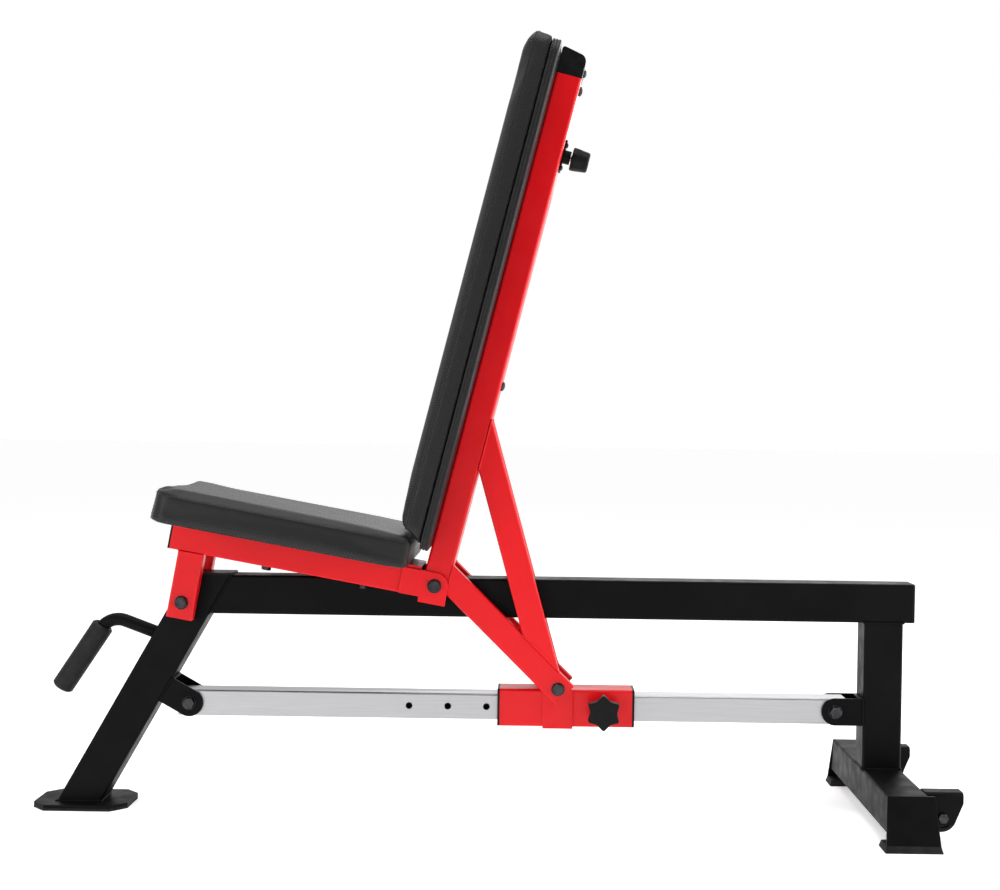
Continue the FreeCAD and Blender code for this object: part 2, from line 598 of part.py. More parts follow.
def make_wheels():
    brackets, axles = [], []
    for side, axis in ((LEFT, "+y"), (RIGHT, "-y")):
        tag = SIDE_NAMES[side]
        middle = f"{side} * wheel_y"
        body = plate("wheel_bracket_" + tag, "XZ", f"{middle} - bracket_half", f"{middle} + bracket_half",
                     [("bar_rear", "bar_top"), ("bracket_rear", "bar_top"),
                      ("bracket_rear", "bracket_tail"), ("bracket_rear - bracket_slant", "bracket_bottom"),
                      ("wheel_x - bracket_toe", "bracket_bottom"), ("bar_rear", "bracket_heel")])
        soften(body, "bracket_round", lambda edge: runs_along((1, 0, 0))(edge)
               and edge.CenterOfMass.z > SIZES["bar_top"] - 1)
        inner = "(bracket_half - bracket_wall)"
        add_pocket(body, "XZ", f"{middle} - {inner}", f"{middle} + {inner}",
                   span("bar_rear - 1", "bracket_rear + 1", "bracket_bottom - 1", "bar_top - bracket_wall"))
        add_pocket(body, "XZ", f"{middle} - bracket_half - 1", f"{middle} + bracket_half + 1",
                   centres=[("wheel_x", "wheel_z")], radius="axle_radius")
        brackets.append(body)
        outside = f"{middle} + {side} * bracket_half"
        axles.append(fuse("wheel_axle_shape_" + tag, [
            bolt("wheel_axle_bolt_" + tag, axis, ("wheel_x", outside, "wheel_z"), "axle_radius",
                 "2 * bracket_half + m8_nut + thread_past", "m8_head", "m8_head_high"),
            hex_block("wheel_axle_nut_" + tag, axis,
                      ("wheel_x", f"{middle} - {side} * bracket_half", "wheel_z"), "m8_head", "m8_nut")]))
        wheel = new_body("wheel_" + tag)
        face = [("wheel_half", "wheel_bore"), ("wheel_half", "wheel_hub"),
                ("(wheel_half - wheel_dish)", "wheel_hub"), ("(wheel_half - wheel_dish)", "wheel_rim"),
                ("wheel_half", "wheel_rim"), ("wheel_half", "wheel_radius - wheel_bevel"),
                ("(wheel_half - wheel_bevel)", "wheel_radius")]
        rim = [(f"-{along}", radius) for along, radius in face] + face[::-1]
        add_turned(wheel, "YZ", rim, "H_Axis")
        finish(wheel, "wheel_" + tag, "wheel", middle)
    finish(group("wheel_brackets_group", brackets), "wheel_brackets")
    finish(group("wheel_axles_group", axles), "wheel_axles")


# ---------------------------------------------------------------- seat

def both_sides(inner, thick):
    """The Y span of a piece on each side of the bench, as (side, low, high)."""
    return ((LEFT, f"-({inner} + {thick})", f"-({inner})"), (RIGHT, inner, f"{inner} + {thick}"))


def make_seat_frame():
    caps, lugs, ears = [], [], []
    bolt_places = [("seat_bolt_front", "panel_bolt_y"), ("seat_bolt_rear", "panel_bolt_y")]
    for side, low, high in both_sides("seat_inner", "slim_width"):
        tag = SIDE_NAMES[side]
        middle = f"{side} * (seat_inner + slim_width / 2)"
        rail = tube("seat_rail_" + tag, "YZ", "rail_a_front", "rail_a_rear",
                    rectangle("slim_width / 2", "slim_half", middle), "slim_wall", "slim_round")
        add_pocket(rail, "XY", "-slim_half - 1", "slim_half + 1",
                   centres=[(a, f"{side} * {y}") for a, y in bolt_places], radius="m8_radius")
        finish(rail, "seat_rail_" + tag, "seat")
        caps.append(plate("seat_rail_cap_" + tag, "YZ", "rail_a_front - cap_thick", "rail_a_front",
                          rectangle("(slim_width / 2 - rail_cap_inset)", "(slim_half - rail_cap_inset)",
                                    middle)))
        lug = tube("seat_lug_" + tag, "XZ", low, high,
                   span("seat_pivot_a - lug_half", "seat_pivot_a + lug_half", "lug_bottom", "-slim_half"),
                   "slim_wall", "slim_round")
        add_pocket(lug, "XZ", f"{low} - 1", f"{high} + 1", centres=[("seat_pivot_a", "seat_pivot_c")],
                   radius="pivot_radius")
        lugs.append(lug)
    for side, low, high in both_sides("seat_inner + slim_width", "ear_thick"):
        ear = plate("seat_ear_" + SIDE_NAMES[side], "XZ", low, high,
                    [("ear_front", "-slim_half"), ("ear_foot", "-slim_half"), ("ear_foot", "ear_bottom"),
                     ("-ear_foot", "ear_bottom"), ("ear_round", "0"), ("0", "ear_round"),
                     ("ear_front", "ear_round")])
        add_pad(ear, "XZ", low, high, centres=[("0", "0")], radius="ear_round")
        add_pocket(ear, "XZ", f"{low} - 1", f"{high} + 1", centres=[("0", "0")], radius="hinge_bush_outer")
        ears.append(ear)
    finish(group("seat_rail_caps_group", caps), "seat_rail_caps", "seat")
    finish(group("seat_lugs_group", lugs), "seat_lugs", "seat")
    finish(group("seat_ears_group", ears), "seat_ears", "seat")
    bushes = [ring("ear_bush_" + SIDE_NAMES[side], "+y", ("0", low, "0"), "hinge_bush_outer",
                   "hinge_bore", "ear_thick")
              for side, low, high in both_sides("seat_inner + slim_width", "ear_thick")]
    finish(group("hinge_bushes_group", bushes), "hinge_bushes", "seat")
    half, front = "seat_inner + slim_width", "rail_a_front + cross_inset"
    plates = [plate("seat_cross_plate_" + tag, "XY", "slim_half", "slim_half + cross_plate_thick",
                    span(low, high, f"-({half})", half))
              for tag, low, high in (("front", front, f"{front} + cross_front_wide"),
                                     ("rear", "rail_a_rear - cross_rear_wide", "rail_a_rear"))]
    finish(group("seat_cross_plates_group", plates), "seat_cross_plates", "seat")


def make_seat_pivot():
    """One bolt through both lugs and the leg, with a nut on the right."""
    outer = "(seat_inner + slim_width)"
    place = ("seat_pivot_a", f"-{outer}", "seat_pivot_c")
    finish(group("seat_pivot_bolt_group", [
        bolt("seat_pivot_bolt_shape", "+y", place, "pivot_radius", f"{outer} * 2 + m10_nut + thread_past",
             "m10_head", "m10_head_high")]), "seat_pivot_bolt", "seat")
    finish(group("seat_pivot_nut_group", [
        nut("seat_pivot_nut_shape", "+y", ("seat_pivot_a", outer, "seat_pivot_c"), "pivot_radius", "m10_head",
            "m10_nut")]), "seat_pivot_nut", "seat")


def panel(name, plane, low, high, ends, half, side_view, holes=None):
    """A board or foam block: its plan has round corners, and its side view trims it."""
    flat = plane == "XY"
    outline = span(*ends, f"-{half}", half) if flat else span(f"-{half}", half, *ends)
    plan = plate(name + "_plan", plane, low, high, outline)
    soften(plan, "pad_corner", runs_along((0, 0, 1) if flat else (1, 0, 0)))
    if holes:
        add_pocket(plan, plane, f"{low} - 1", f"{high} + 1", centres=holes, radius="m8_radius")
    side = plate(name + "_side", "XZ", f"-{half} - 1", f"{half} + 1", side_view)
    return plan, side


def make_seat_pad():
    board_low = "slim_half + cross_plate_thick"
    board_high = f"{board_low} + seat_board_thick"
    foam_high = f"{board_high} + seat_foam_thick"
    front, rear = "(seat_front + board_inset)", "(seat_rear - board_inset)"
    holes = [(a, f"{side} * panel_bolt_y") for a in ("seat_bolt_front", "seat_bolt_rear")
             for side in (LEFT, RIGHT)]
    plan, side = panel("seat_board", "XY", board_low, board_high, (front, rear), "(seat_half - board_inset)",
                       [(front, board_low), ("seat_under_rear", board_low), (rear, board_high),
                        (front, board_high)], holes)
    finish(common("seat_board_shape", plan, side), "seat_board", "seat")
    plan, side = panel("seat_cushion", "XY", board_high, foam_high, ("seat_front", "seat_rear"), "seat_half",
                       span("seat_front", "seat_rear", board_high, foam_high))
    middle = sum(SIZES[word] for word in ("slim_half", "cross_plate_thick", "seat_board_thick")) + 1
    soften(side, "seat_rear_round", crosswise_at(SIZES["seat_rear"], middle))
    soften(side, "pad_edge", crosswise_at(SIZES["seat_front"], middle))
    finish(common("seat_cushion_shape", plan, side), "seat_cushion", "seat")
    bolts = [bolt(f"seat_bolt_{k}", "+z", (a, y, "-slim_half"), "m8_radius",
                  f"slim_half + {board_high} - bolt_short", "m8_head", "m8_head_high")
             for k, (a, y) in enumerate(holes)]
    finish(group("seat_bolts_group", bolts), "seat_bolts", "seat")


# ---------------------------------------------------------------- backrest

BACK_HOLES = [("0", "back_bolt_low"), ("0", "back_bolt_high")]


def make_spine():
    spine = tube("back_spine", "XY", "spine_low", "spine_top", rectangle("spine_deep", "spine_half"),
                 "spine_wall", "tube_round")
    add_pocket(spine, "YZ", "-spine_deep - 1", "spine_deep + 1", centres=BACK_HOLES, radius="m8_radius")
    finish(spine, "back_spine", "backrest")
    cheeks = []
    for side, low, high in both_sides("cheek_inner", "slim_width"):
        cheek = plate("spine_cheek_" + SIDE_NAMES[side], "XZ", low, high,
                      span("-spine_deep", "spine_deep", "0", "spine_low"))
        add_pad(cheek, "XZ", low, high, centres=[("0", "0")], radius="spine_deep")
        add_pocket(cheek, "XZ", f"{low} - 1", f"{high} + 1", centres=[("0", "0")], radius="hinge_radius")
        cheeks.append(cheek)
    finish(group("spine_cheeks_group", cheeks), "spine_cheeks", "backrest")
    cap = plate("spine_top_cap", "XZ", "-spine_half", "spine_half",
                [("-spine_deep", "spine_top"), ("spine_deep", "spine_top"), ("spine_deep", "cap_rear"),
                 ("-spine_deep", "cap_front")])
    soften(cap, "cap_rear_round", lambda edge: runs_along((0, 1, 0))(edge) and edge.CenterOfMass.x > 0
           and edge.CenterOfMass.z > SIZES["cap_rear"] - 1)
    soften(cap, "cap_round", lambda edge: runs_along((0, 1, 0))(edge) and edge.CenterOfMass.x < 0
           and edge.CenterOfMass.z > SIZES["cap_rear"])
    finish(cap, "spine_top_cap", "backrest")
    screw = button("cap_screw_shape", "+x", ("spine_deep", "0", "spine_top + cap_screw_rise"), "small_screw",
                   "small_head_high")
    finish(group("cap_screw_group", [screw]), "cap_screw", "backrest")


def make_back_pad():
    front = "-spine_deep"
    board_front = f"{front} - back_board_thick"
    foam_front = f"{board_front} - back_foam_thick"
    plan, side = panel("back_board", "YZ", board_front, front, ("back_board_low", "back_board_high"),
                       "(back_half - board_inset)",
                       span(board_front, front, "back_board_low", "back_board_high"), BACK_HOLES)
    finish(common("back_board_shape", plan, side), "back_board", "backrest")
    plan, side = panel("back_cushion", "YZ", foam_front, board_front, ("back_low", "back_high"), "back_half",
                       [(board_front, "back_low + back_lip"), (board_front, "back_high - back_step"),
                        (f"{board_front} - back_step", "back_high"),
                        (f"{foam_front} + back_crown", "back_high"),
                        (foam_front, "back_high - back_crown_drop"), (foam_front, "back_nose")])
    finish(common("back_cushion_shape", plan, side), "back_cushion", "backrest")
    bolts = [button_bolt(f"back_bolt_{k}", "-x", ("spine_deep", y, t), "m8_radius",
                         "2 * spine_deep + back_board_thick - bolt_short", "m8_head", "m8_head_high")
             for k, (y, t) in enumerate(BACK_HOLES)]
    finish(group("back_bolts_group", bolts), "back_bolts", "backrest")


def make_struts():
    """Two welded V shapes: a lower strut to the sleeve and an upper strut that props it."""
    sine, cosine = "sin(strut_lean_lower)", "cos(strut_lean_lower)"
    up_sine, up_cosine = "sin(strut_lean_upper)", "cos(strut_lean_upper)"

    def lower_top(across):
        """Where a line along the lower strut, `across` off its middle, meets the spine's rear face."""
        return ("spine_deep", f"lever_t + ((lever_x - spine_deep) * {cosine} + ({across})) / {sine}")

    def lower_end(across):
        return (f"lever_x + strut_end * {sine} + ({across}) * {cosine}",
                f"lever_t - strut_end * {cosine} + ({across}) * {sine}")

    def upper_foot(start_t):
        """Where the upper strut's edge that starts at (spine_deep, start_t) meets the lower strut."""
        reach = (f"(((spine_deep - lever_x) * {cosine} + ({start_t} - lever_t) * {sine} - slim_half)"
                 f" / ({up_cosine} * {sine} - {up_sine} * {cosine}))")
        return (f"spine_deep + {reach} * {up_sine}", f"{start_t} - {reach} * {up_cosine}")

    front_t = f"strut_top_t - 2 * slim_half / {up_sine}"
    lower = [lower_top("-slim_half"), lower_end("-slim_half"), lower_end("slim_half"),
             lower_top("slim_half")]
    upper = [("spine_deep", front_t), upper_foot(f"({front_t})"), upper_foot("strut_top_t"),
             ("spine_deep", "strut_top_t")]
    for side, low, high in both_sides("cheek_inner", "slim_width"):
        tag = SIDE_NAMES[side]
        strut = tube("lower_strut_" + tag, "XZ", low, high, lower, "slim_wall", "slim_round",
                     closed=lambda centre: centre.x > SIZES["lever_x"])
        add_pocket(strut, "XZ", f"{low} - 1", f"{high} + 1", centres=[("lever_x", "lever_t")],
                   radius="pivot_radius")
        finish(strut, "lower_strut_" + tag, "backrest")
        finish(tube("upper_strut_" + tag, "XZ", low, high, upper, "slim_wall", "slim_round"),
               "upper_strut_" + tag, "backrest")


def make_backrest_pivots():
    hinge_bolts, lever_bolts = [], []
    for side, axis in ((LEFT, "+y"), (RIGHT, "-y")):
        tag = SIDE_NAMES[side]
        outside = f"{side} * (seat_inner + slim_width + ear_thick + hinge_gap)"
        hinge_bolts.append(bolt("hinge_bolt_" + tag, axis, ("0", outside, "0"), "hinge_radius",
                                "ear_thick + slim_width + hinge_gap + hinge_tail", "hinge_head",
                                "m10_head_high"))
        strut_side = f"{side} * (cheek_inner + slim_width)"
        lever_bolts.append(bolt("lever_bolt_" + tag, axis, ("lever_x", strut_side, "lever_t"),
                                "pivot_radius", "slim_width", "m10_head", "m10_head_high"))
    finish(group("hinge_bolts_group", hinge_bolts), "hinge_bolts", "backrest")
    finish(group("lever_bolts_group", lever_bolts), "lever_bolts", "backrest")


def make_stow_pin():
    """The spring pin at the top of the spine: a plate and neck that hold a pin with a round knob."""
    neck, neck_top = "(spine_deep + stow_plate_thick)", "(spine_deep + stow_plate_thick + stow_neck_long)"
    housing = plate("stow_pin_housing", "YZ", "spine_deep", neck,
                    rectangle("stow_plate_wide", "stow_plate_half", "0", "stow_pin"))
    soften(housing, "stow_plate_round", runs_along((1, 0, 0)))
    add_pad(housing, "YZ", neck, neck_top, centres=[("0", "stow_pin")], radius="stow_neck")
    add_pocket(housing, "YZ", "spine_deep - 1", f"{neck_top} + 1", centres=[("0", "stow_pin")],
               radius="pin_radius + pin_gap")
    finish(housing, "stow_pin_housing", "backrest")
    screws = [button(f"stow_pin_screw_{k}", "+x", (neck, "0", f"stow_pin {sign} stow_screw_out"),
                     "stow_screw", "stow_screw_high") for k, sign in enumerate("+-")]
    finish(group("stow_pin_screws_group", screws), "stow_pin_screws", "backrest")
    pin = rod("stow_pin_shape", "+x", ("spine_deep + stow_pin_start", "0", "stow_pin"), "pin_radius",
              "stow_pin_long")
    finish(group("stow_pin_group", [pin]), "stow_pin", "backrest")
    knob = new_body("stow_pin_knob")
    outside = [(f"spine_deep + {reach}", radius) for reach, radius in STOW_KNOB]
    near, far, socket = STOW_KNOB[0][0], STOW_KNOB[-1][0], f"spine_deep + {STOW_KNOB_SOCKET}"
    add_turned(knob, "XY", [(f"spine_deep + {near}", "pin_radius"), *outside, (f"spine_deep + {far}", "0"),
                            (socket, "0"), (socket, "pin_radius")], "H_Axis")
    lift_z = "hinge_z + stow_pin * cos(back_pitch)"
    lift_x = "hinge_x + stow_pin * sin(back_pitch)"
    FRAMES["stow_pin"] = (lift_x, lift_z, "back_pitch")
    finish(knob, "stow_pin_knob", "stow_pin")


# ---------------------------------------------------------------- sleeve on the rail

def make_sleeve():
    sleeve = tube("slider_sleeve", "YZ", "sleeve_front", "sleeve_rear",
                  rectangle("sleeve_half_y", "sleeve_half_z"), "sleeve_wall", "tube_round")
    add_pocket(sleeve, "XZ", "-sleeve_half_y - 1", "0", centres=[("pin_x", "0")],
               radius="pin_radius + pin_gap")
    finish(sleeve, "slider_sleeve", "sleeve")
    liners = [make_liner("front", ("sleeve_front - liner_flange", "sleeve_front"),
                         ("sleeve_front", "sleeve_front + liner_depth")),
              make_liner("rear", ("sleeve_rear", "sleeve_rear + liner_flange"),
                         ("sleeve_rear - liner_depth", "sleeve_rear"))]
    finish(group("sleeve_liners_group", liners), "sleeve_liners", "sleeve")


def make_liner(tag, flange, collar):
    """A collar inside one end of the sleeve and a flange over that end; each is (low, high)."""
    bore = "(rail_size / 2 + liner_gap)"
    liner = new_body("sleeve_liner_" + tag)
    add_pad(liner, "YZ", *flange, corners=rectangle("sleeve_half_y", "sleeve_half_z"))
    soften(liner, "tube_round", runs_along((1, 0, 0)))
    add_pad(liner, "YZ", *collar,
            corners=rectangle("(sleeve_half_y - sleeve_wall)", "(sleeve_half_z - sleeve_wall)"))
    soften(liner, "tube_round - sleeve_wall", lambda edge: runs_along((1, 0, 0))(edge)
           and edge.Length > SIZES["liner_depth"] - 1)
    for low, high in (flange, collar):
        add_pocket(liner, "YZ", low, high, rectangle(bore, bore))
    return liner


def make_saddle():
    """A U of plate round the sleeve, its two ears rising to the lever pivot."""
    outer = "(sleeve_half_y + saddle_thick)"
    saddle = new_body("lever_saddle")
    low_z = "-sleeve_half_z - saddle_floor"
    pivot_z = "lever_pivot_z - rail_z"
    for low, high in ((f"-{outer}", "-sleeve_half_y"), ("sleeve_half_y", outer)):
        add_pad(saddle, "XZ", low, high,
                [("saddle_front", low_z), ("saddle_rear", low_z), ("saddle_rear", "sleeve_half_z"),
                 ("lever_pivot_x + saddle_ear", pivot_z), ("lever_pivot_x - saddle_ear", pivot_z),
                 ("saddle_front", "sleeve_half_z - saddle_step")])
        add_pad(saddle, "XZ", low, high, centres=[("lever_pivot_x", pivot_z)], radius="saddle_ear")
    add_pad(saddle, "XZ", f"-{outer}", outer,
            span("saddle_front", "saddle_rear", low_z, "-sleeve_half_z"))
    add_pocket(saddle, "XZ", f"-{outer} - 1", f"{outer} + 1", centres=[("lever_pivot_x", pivot_z)],
               radius="pivot_radius + lever_gap")
    finish(saddle, "lever_saddle", "sleeve")


def make_sleeve_pin():
    housing = ring("sleeve_pin_collar", "-y", ("pin_x", "-sleeve_half_y", "0"), "pin_housing",
                   "pin_radius + pin_gap", "pin_housing_reach - sleeve_half_y")
    finish(group("sleeve_pin_housing_group", [housing]), "sleeve_pin_housing", "sleeve")
    pin = fuse("sleeve_pin_shape", [
        rod("sleeve_pin_thick", "-y", ("pin_x", "-pin_tip", "0"), "pin_radius",
            "knob_near - knob_gap - pin_tip"),
        rod("sleeve_pin_thin", "-y", ("pin_x", "-pin_tip", "0"), "spindle_radius",
            "knob_near + knob_deep - knob_cover - pin_tip")])
    finish(pin, "sleeve_pin", "sleeve")
    knob = new_body("sleeve_pin_knob")
    far = "-(knob_near + knob_deep)"
    star = []
    for k in range(2 * KNOB_POINTS):
        reach = "knob_valley" if k % 2 else "knob_tip"
        angle = KNOB_START + 180 / KNOB_POINTS * k
        star.append((f"pin_x + {reach} * cos({angle})", f"{reach} * sin({angle})"))
    neck = "-knob_near - knob_neck_long"
    add_pad(knob, "XZ", far, neck, star)

    def ridge(low, high):
        """Tests for an edge along the knob's axis at a distance from it."""
        return lambda edge: runs_along((0, 1, 0))(edge) and low < math.hypot(
            edge.CenterOfMass.x - SIZES["pin_x"], edge.CenterOfMass.z) < high

    soften(knob, "knob_tip_round", ridge(SIZES["knob_tip"] - 1, SIZES["knob_tip"] + 1))
    soften(knob, "knob_valley_round", ridge(SIZES["knob_valley"] - 1, SIZES["knob_valley"] + 1))
    face = -SIZES["knob_near"] - SIZES["knob_deep"]
    soften(knob, "knob_face_round", lambda edge: abs(edge.CenterOfMass.y - face) < 0.1)
    add_pad(knob, "XZ", neck, "-knob_near", centres=[("pin_x", "0")], radius="knob_neck")
    add_pocket(knob, "XZ", f"{far} + knob_cover - knob_gap", "-knob_near + 1", centres=[("pin_x", "0")],
               radius="spindle_radius + pin_gap")
    finish(knob, "sleeve_pin_knob", "sleeve")


# ---------------------------------------------------------------- checks and output

def check_document():
    doc.recompute()
    for thing in doc.Objects:
        if {"Invalid", "Error"} & set(thing.State):
            raise RuntimeError(f"{thing.Name} is {thing.State}")
    for thing in finished:
        if thing.Shape.isNull() or not thing.Shape.isValid() or not thing.Shape.Solids:
            raise RuntimeError(f"{thing.Label} has no valid solid")


def write_steps():
    os.makedirs("parts", exist_ok=True)
    for thing in finished:
        thing.Shape.exportStep(f"parts/{thing.Label}.step")
        box = thing.Shape.BoundBox
        print(f"{thing.Label}: {len(thing.Shape.Solids)} solids, {thing.Shape.Volume / 1000:.1f} cm3, "
              f"X {box.XMin:.1f}..{box.XMax:.1f} Y {box.YMin:.1f}..{box.YMax:.1f} "
              f"Z {box.ZMin:.1f}..{box.ZMax:.1f}")


fill_sheet()
make_front_foot()
make_front_leg()
make_main_beam()
make_rear_support()
make_guide_rail()
make_rail_mounts()
make_carry_handle()
make_wheels()
make_seat_frame()
make_seat_pivot()
make_seat_pad()
make_spine()
make_back_pad()
make_struts()
make_backrest_pivots()
make_stow_pin()
make_sleeve()
make_saddle()
make_sleeve_pin()
check_document()
write_steps()
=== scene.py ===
import json
import math

import bmesh
import bpy
from mathutils import Matrix, Vector, noise
from mathutils.bvhtree import BVHTree


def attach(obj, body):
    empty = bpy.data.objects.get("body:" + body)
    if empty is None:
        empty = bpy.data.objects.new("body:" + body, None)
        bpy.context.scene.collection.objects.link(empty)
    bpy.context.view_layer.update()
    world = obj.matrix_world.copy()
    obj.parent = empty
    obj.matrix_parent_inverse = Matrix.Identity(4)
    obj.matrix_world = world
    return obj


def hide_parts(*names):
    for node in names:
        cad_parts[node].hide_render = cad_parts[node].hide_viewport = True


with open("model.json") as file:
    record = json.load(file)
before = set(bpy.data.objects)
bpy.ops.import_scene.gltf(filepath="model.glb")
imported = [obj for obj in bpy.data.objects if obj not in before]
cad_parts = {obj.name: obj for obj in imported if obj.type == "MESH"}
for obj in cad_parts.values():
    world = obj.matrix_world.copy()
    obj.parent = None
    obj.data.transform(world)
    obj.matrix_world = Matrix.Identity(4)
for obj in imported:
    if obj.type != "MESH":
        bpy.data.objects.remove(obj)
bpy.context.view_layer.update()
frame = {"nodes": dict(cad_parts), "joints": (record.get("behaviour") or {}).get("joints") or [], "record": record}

# The looks of an adjustable weight bench, in metres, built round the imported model.
# X runs along the bench (seat at -X), Y is across it (the bench's left side is -Y) and Z is up.

MM = 0.001

# ---------------------------------------------------------------- places read from the frame

JOINTS = {joint["name"]: joint for joint in frame["joints"]}
HINGE = Vector(JOINTS["backrest_recline"]["pos_m"])
BACK_AXIS = Vector(JOINTS["stow_pin_pull"]["axis"])
BACK_PITCH = math.atan2(-BACK_AXIS.z, BACK_AXIS.x)
SEAT_PITCH = math.radians(10)
LEG_LEAN = math.radians(29.2)

SEAT_FRAME = Matrix.Translation(HINGE) @ Matrix.Rotation(SEAT_PITCH, 4, "Y")
BACK_FRAME = Matrix.Translation(HINGE) @ Matrix.Rotation(BACK_PITCH, 4, "Y")
# A pad's own axes are u along it, v across it and w away from its board.
SEAT_PAD = SEAT_FRAME
BACK_PAD = BACK_FRAME @ Matrix(((0, 0, -1, 0), (0, 1, 0, 0), (1, 0, 0, 0), (0, 0, 0, 1)))

# The cushions, seen from above: the radius of their corners, and how far a board is set in.
CORNER_RADIUS = 24 * MM
BOARD_INSET = 1.5 * MM


# ---------------------------------------------------------------- materials

class Paint:
    """A Principled material and the nodes that give it colour, roughness and relief."""

    def __init__(self, name, color, roughness, metallic=0.0, **sockets):
        self.material = bpy.data.materials.new(name)
        self.material.use_nodes = True
        self.tree = self.material.node_tree
        self.shader = self.tree.nodes["Principled BSDF"]
        self.color = color
        self.set(**{"Base Color": (*color, 1), "Roughness": roughness, "Metallic": metallic})
        self.set(**sockets)
        self.coords = self.tree.nodes.new("ShaderNodeTexCoord").outputs["Object"]
        self.normal = None

    def set(self, **sockets):
        for name, value in sockets.items():
            self.shader.inputs[name.replace("_", " ")].default_value = value

    def node(self, kind, **settings):
        node = self.tree.nodes.new(kind)
        for name, value in settings.items():
            if name in node.inputs:
                node.inputs[name].default_value = value
            else:
                setattr(node, name, value)
        return node

    def link(self, source, target):
        self.tree.links.new(source, target)

    def stretched(self, scale, turn=(0, 0, 0)):
        mapping = self.node("ShaderNodeMapping")
        mapping.inputs["Scale"].default_value = scale
        mapping.inputs["Rotation"].default_value = turn
        self.link(self.coords, mapping.inputs["Vector"])
        return mapping.outputs["Vector"]

    def noise(self, scale, detail=3.0, vector=None):
        node = self.node("ShaderNodeTexNoise", Scale=scale, Detail=detail)
        self.link(vector or self.coords, node.inputs["Vector"])
        return node.outputs["Fac"]

    def ramp(self, source, stops):
        node = self.node("ShaderNodeValToRGB")
        ramp = node.color_ramp
        while len(ramp.elements) < len(stops):
            ramp.elements.new(0.5)
        for element, (place, value) in zip(ramp.elements, stops):
            element.position = place
            element.color = (*value, 1) if isinstance(value, tuple) else (value, value, value, 1)
        self.link(source, node.inputs["Fac"])
        return node.outputs["Color"]

    def vary_color(self, source, low, high, start=0.35, stop=0.65):
        dark = tuple(part * low for part in self.color)
        light = tuple(min(1.0, part * high) for part in self.color)
        self.link(self.ramp(source, ((start, dark), (stop, light))), self.shader.inputs["Base Color"])

    def vary_roughness(self, source, low, high, start=0.35, stop=0.65):
        self.link(self.ramp(source, ((start, low), (stop, high))), self.shader.inputs["Roughness"])

    def bump(self, source, height, strength=1.0):
        node = self.node("ShaderNodeBump", Distance=height, Strength=strength)
        self.link(source, node.inputs["Height"])
        if self.normal:
            self.link(self.normal, node.inputs["Normal"])
        self.normal = node.outputs["Normal"]
        self.link(self.normal, self.shader.inputs["Normal"])

    def math(self, operation, first, second):
        node = self.node("ShaderNodeMath", operation=operation)
        for socket, value in zip(node.inputs, (first, second)):
            if isinstance(value, (int, float)):
                socket.default_value = value
            else:
                self.link(value, socket)
        return node.outputs["Value"]


def red_paint():
    paint = Paint("red_powder_coat", (0.66, 0.004, 0.008), 0.34, Specular_IOR_Level=0.20,
                  Coat_Weight=0.10, Coat_Roughness=0.12)
    paint.vary_color(paint.noise(9, 4), 0.95, 1.05)
    paint.vary_roughness(paint.noise(26, 3), 0.30, 0.40)
    paint.bump(paint.noise(900, 2), 0.00006)
    paint.bump(paint.noise(120, 2), 0.00010, 0.5)
    return paint.material


def black_paint():
    paint = Paint("black_powder_coat", (0.0022, 0.0022, 0.0024), 0.34, Specular_IOR_Level=0.08)
    paint.vary_color(paint.noise(14, 4), 0.8, 1.35)
    paint.vary_roughness(paint.noise(40, 3), 0.40, 0.54)
    paint.bump(paint.noise(1100, 2), 0.00003)
    return paint.material


def drawn_aluminium():
    paint = Paint("drawn_aluminium", (0.42, 0.42, 0.43), 0.36, 1.0, Anisotropic=0.5)
    lines = paint.noise(60, 4, paint.stretched((0.25, 22, 22)))
    paint.vary_color(lines, 0.92, 1.06)
    paint.vary_roughness(lines, 0.32, 0.46)
    paint.bump(lines, 0.00004)
    return paint.material


def weave(paint, pitch, depth):
    """Two crossed sets of diagonal ribs, one set stronger, as a carbon-pattern vinyl has."""
    sets = []
    for stretch in ((1, 1, 1), (-1, 1, 1)):
        wave = paint.node("ShaderNodeTexWave", wave_type="BANDS", bands_direction="DIAGONAL",
                          Scale=math.tau / (10 * math.sqrt(2) * pitch))
        paint.link(paint.stretched(stretch), wave.inputs["Vector"])
        sets.append(wave.outputs["Fac"])
    ribs = paint.math("MAXIMUM", sets[0], paint.math("MULTIPLY", sets[1], 0.55))
    paint.bump(ribs, depth)
    return ribs


def cushion_vinyl():
    paint = Paint("carbon_grain_vinyl", (0.0065, 0.0065, 0.007), 0.38, Specular_IOR_Level=0.26)
    ribs = weave(paint, 3.2 * MM, 0.00022)
    paint.vary_color(ribs, 0.30, 2.6, 0.15, 0.95)
    paint.vary_roughness(ribs, 0.55, 0.34, 0.1, 0.9)
    paint.bump(paint.noise(34, 3), 0.0012, 0.25)
    return paint.material


def smooth_vinyl():
    paint = Paint("wrapped_vinyl", (0.006, 0.006, 0.0065), 0.40, Specular_IOR_Level=0.28)
    voronoi = paint.node("ShaderNodeTexVoronoi", Scale=1100.0)
    paint.link(paint.coords, voronoi.inputs["Vector"])
    paint.bump(voronoi.outputs["Distance"], 0.00016)
    paint.vary_color(paint.noise(30, 3), 0.85, 1.3)
    paint.vary_roughness(paint.noise(60, 2), 0.38, 0.50)
    return paint.material


def moulded_plastic():
    paint = Paint("moulded_plastic", (0.0035, 0.0035, 0.0038), 0.40, Specular_IOR_Level=0.14)
    paint.vary_color(paint.noise(30, 3), 0.85, 1.25)
    paint.vary_roughness(paint.noise(80, 2), 0.38, 0.52)
    paint.bump(paint.noise(1400, 2), 0.00003)
    return paint.material


